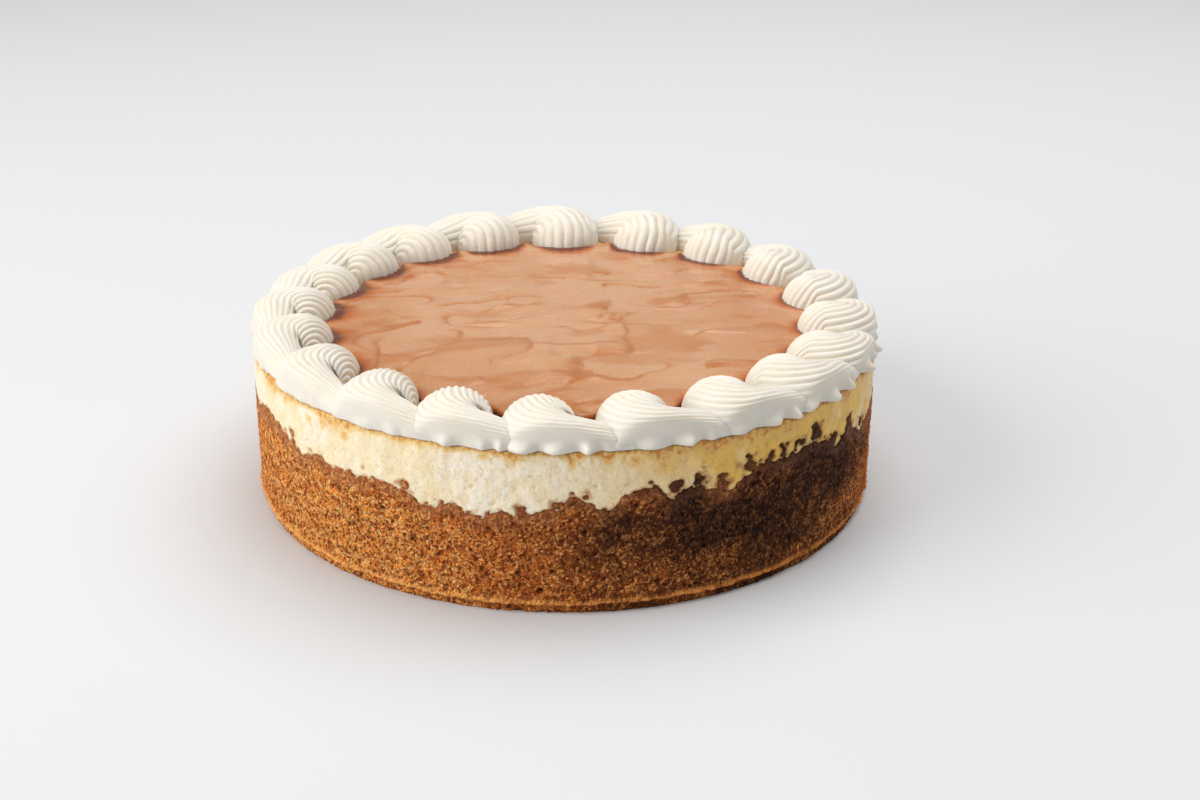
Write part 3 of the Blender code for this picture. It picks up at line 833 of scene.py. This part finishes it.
def shell_points(across, along, number):
    """The ridged, slightly uneven surface of one shell and the painted shade for its grooves and the clefts at its
    foot.
    """
    points = smooth_shell(across, along)
    small = 0.003
    over = smooth_shell(np.clip(across + small, 0, 1), along) - smooth_shell(np.clip(across - small, 0, 1), along)
    down = smooth_shell(across, np.minimum(along + small, 2)) - smooth_shell(across, np.maximum(along - small, -1))
    normal = np.cross(over, down)
    normal = normal / np.maximum(np.linalg.norm(normal, axis=-1, keepdims=True), 1e-12)
    normal = np.where(normal[..., 2:] < 0.0, -normal, normal)
    place = points + np.array([number * 0.09, 0.0, 0.0])
    # ridges wander a little and differ in size
    wander = (0.04 if 7 < number < 15 else 0.10) * noise(place, 11 * MM, 71)
    turn = COUNTS[number - 1] * (across - FAN * smooth_step((along - 0.25) / 1.35)) + wander
    wave = np.abs(np.sin(math.pi * turn))
    ridge = wave**0.72 - 0.62
    which = np.floor(turn).astype(np.int64)
    size = 0.80 + 0.40 * lattice(which, which * 0 + number, which * 0, 72)
    depth = RIDGE_DEPTH * (0.4 + 0.6 * smooth_step(np.clip(along, 0.0, 1.0))) * size
    edge = smooth_step(across * 9.0) * smooth_step((1.0 - across) * PLAIN[number - 1])
    end = 1.0 - 0.35 * smooth_step((along - 1.55) / 0.4)
    lift = depth * ridge * edge * end
    lift = lift + 0.16 * MM * fbm(place, 5 * MM, 2, 73) * edge
    points = points + normal * lift[..., None]
    # star-tip teeth along the outer foot: rounded lobes with deep clefts between them
    teeth = TEETH[number - 1]
    low = between(across, 0.74, 0.86) * between(along, -0.05, 0.12) * (1 - between(along, 0.72, 0.90))
    swing = 4.4 * along + 0.61 * number + 0.22 * noise(place, 8 * MM, 74)
    off = np.abs(swing - np.round(swing))  # 0 in a cleft, 0.5 on a lobe
    lobe = np.floor(swing).astype(np.int64)
    uneven = 0.35 + 1.0 * lattice(lobe, lobe * 0 + number, lobe * 0, 75)
    cleft = np.exp(-((off / 0.20) ** 2))
    bulge = np.exp(-(((0.5 - off) / 0.20) ** 2)) * np.clip(uneven, 0, 1.3)
    tall = points[..., 2] / MM
    low_down = np.clip(1.0 - tall / 5.0, 0, 1)
    point = np.exp(-(((tall - 1.2) / 1.9) ** 2))
    push = teeth * low * (2.7 * MM * bulge * point - 1.4 * MM * cleft * low_down)
    # painted shade in the clefts between the teeth
    cleft_shade = 0.4 * teeth * low * cleft * low_down
    points[..., 2] = np.maximum(points[..., 2], 0.0)
    groove_shade = np.maximum((1 - wave) ** 2 * edge, 0.8 * cleft_shade)
    return points, groove_shade, push


# Star-tip ridges over each shell.
COUNTS = (14, 14, 14, 13, 13, 12, 11, 10, 9, 9, 9, 9, 9, 10, 11, 12, 13, 13, 14, 14)
# How quickly the ridges fade in above each shell's outer foot.
PLAIN = (2.4, 2.4, 2.8, 3.4, 5.5, 5.5, 5.5, 5.5, 5.5, 5.5, 5.5, 5.5, 5.5, 5.5, 4.5, 3.2, 2.8, 2.6, 2.8, 3.6)
# How strongly the star tip's teeth show at each shell's foot.
TEETH = (1.0, 1.0, 1.0, 1.1, 1.1, 1.0, 0.9, 0.8, 0.8, 0.8, 0.8, 0.8, 0.8, 0.8, 0.7, 0.5, 0.3, 0.25, 0.4, 0.7)


def to_ring(points, start, scale):
    u, v, z = (points[..., axis] * scale for axis in range(3))
    turn = math.radians(start) + (u - HEAD_START) / RING_R
    radius = RING_R - v
    x = radius * np.cos(turn)
    y = radius * np.sin(turn) - RING_SHIFT
    out = np.hypot(x, y)
    limit = CAKE_R - RIM_LEAN + 0.35 * MM
    over = np.maximum(out - limit, 0.0)
    held = np.minimum(out, limit) + RIM_LEAN * (1.0 - np.exp(-over / RIM_LEAN))
    return np.stack([x * held / out, y * held / out, TOP + 0.05 * MM + z], axis=-1)


ACROSS = np.linspace(0.0, 1.0, 140)
ALONG = np.concatenate(
    [np.linspace(-RUN_ON, 0.0, 9, endpoint=False), np.linspace(0.0, 1.0, 42, endpoint=False), np.linspace(1.0, 2.0, 28)]
)


def shell_placed(number):
    """One shell's grid on the cake, piped a little differently from the others."""
    rng = np.random.default_rng(70 + number)
    start, scale = SHELLS[number - 1]
    a, l = np.meshgrid(ACROSS, ALONG, indexing="ij")
    points, groove_shade, push = shell_points(a, l, number)
    height = points[..., 2].copy()
    points[..., 2] *= 1.0 + rng.uniform(-0.04, 0.04)
    points[..., 1] += rng.uniform(-0.05, 0.05) * height
    points[..., 0] += rng.uniform(-0.04, 0.04) * height
    placed = to_ring(points, start, scale)
    placed[..., :2] *= (1.0 + push / np.hypot(placed[..., 0], placed[..., 1]))[..., None]
    return placed, groove_shade


def make_cream(material):
    for number in range(1, len(SHELLS) + 1):
        placed, groove_shade = shell_placed(number)
        name = f"piped_cream_{number:02d}"
        mesh = grid_mesh(name, placed, flip=True)
        tint(mesh, "groove_shade", groove_shade)
        obj = add_object(name, mesh, material)
        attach(obj, "root")
        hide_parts(f"cream_shell_{number:02d}")


# ------------------------------------------------------------------ stage
def make_stage():
    n = Nodes("pale_floor")
    n.set(Base_Color=(0.68, 0.69, 0.71), Roughness=0.7, Specular_IOR_Level=0.2)
    mesh = bpy.data.meshes.new("floor")
    s = 6.0
    mesh.from_pydata([(-s, -s, 0), (s, -s, 0), (s, s, 0), (-s, s, 0)], [], [(0, 1, 2, 3)])
    floor = add_object("floor", mesh, n.material)
    floor.location.z = -0.0001
    world = bpy.data.worlds.new("soft_room")
    world.use_nodes = True
    sky = world.node_tree.nodes["Background"]
    sky.inputs["Color"].default_value = (1.0, 0.99, 0.975, 1.0)
    sky.inputs["Strength"].default_value = 0.34
    bpy.context.scene.world = world
    for name, place, aim, energy, size, colour in (
        ("window", (-1.55, -0.62, 0.95), (0.0, 0.0, 0.04), 30.0, 1.5, (1.0, 0.985, 0.955)),
        ("room", (0.40, 0.45, 1.75), (0.0, 0.0, 0.05), 29.0, 1.9, (1.0, 0.995, 0.985)),
    ):
        light = bpy.data.lights.new(name, "AREA")
        light.energy = energy
        light.size = size
        light.color = colour
        lamp = bpy.data.objects.new(name, light)
        bpy.context.scene.collection.objects.link(lamp)
        lamp.location = place
        lamp.rotation_euler = (Vector(aim) - Vector(place)).to_track_quat("-Z", "Y").to_euler()


def make_camera():
    data = bpy.data.cameras.new("camera")
    data.sensor_width = 36.0
    data.lens = 1667.0 / 1200.0 * 36.0
    data.clip_start = 0.01
    camera = bpy.data.objects.new("camera", data)
    bpy.context.scene.collection.objects.link(camera)
    right = (0.99978422, -0.01891921, 0.00857804)
    up = (-0.00037077, 0.39662261, 0.91798168)
    forward = (0.02076973, 0.91778678, -0.39653001)
    place = (0.0, -0.61670543, 0.29389273)
    camera.matrix_world = Matrix(
        [[right[i], up[i], -forward[i], place[i]] for i in range(3)] + [[0.0, 0.0, 0.0, 1.0]]
    )
    bpy.context.scene.camera = camera


def main():
    make_crust(crust_material())
    make_filling(filling_material())
    make_caramel(caramel_material())
    make_cream(cream_material())
    make_stage()
    make_camera()
    bpy.context.scene.view_settings.view_transform = "Standard"


main()
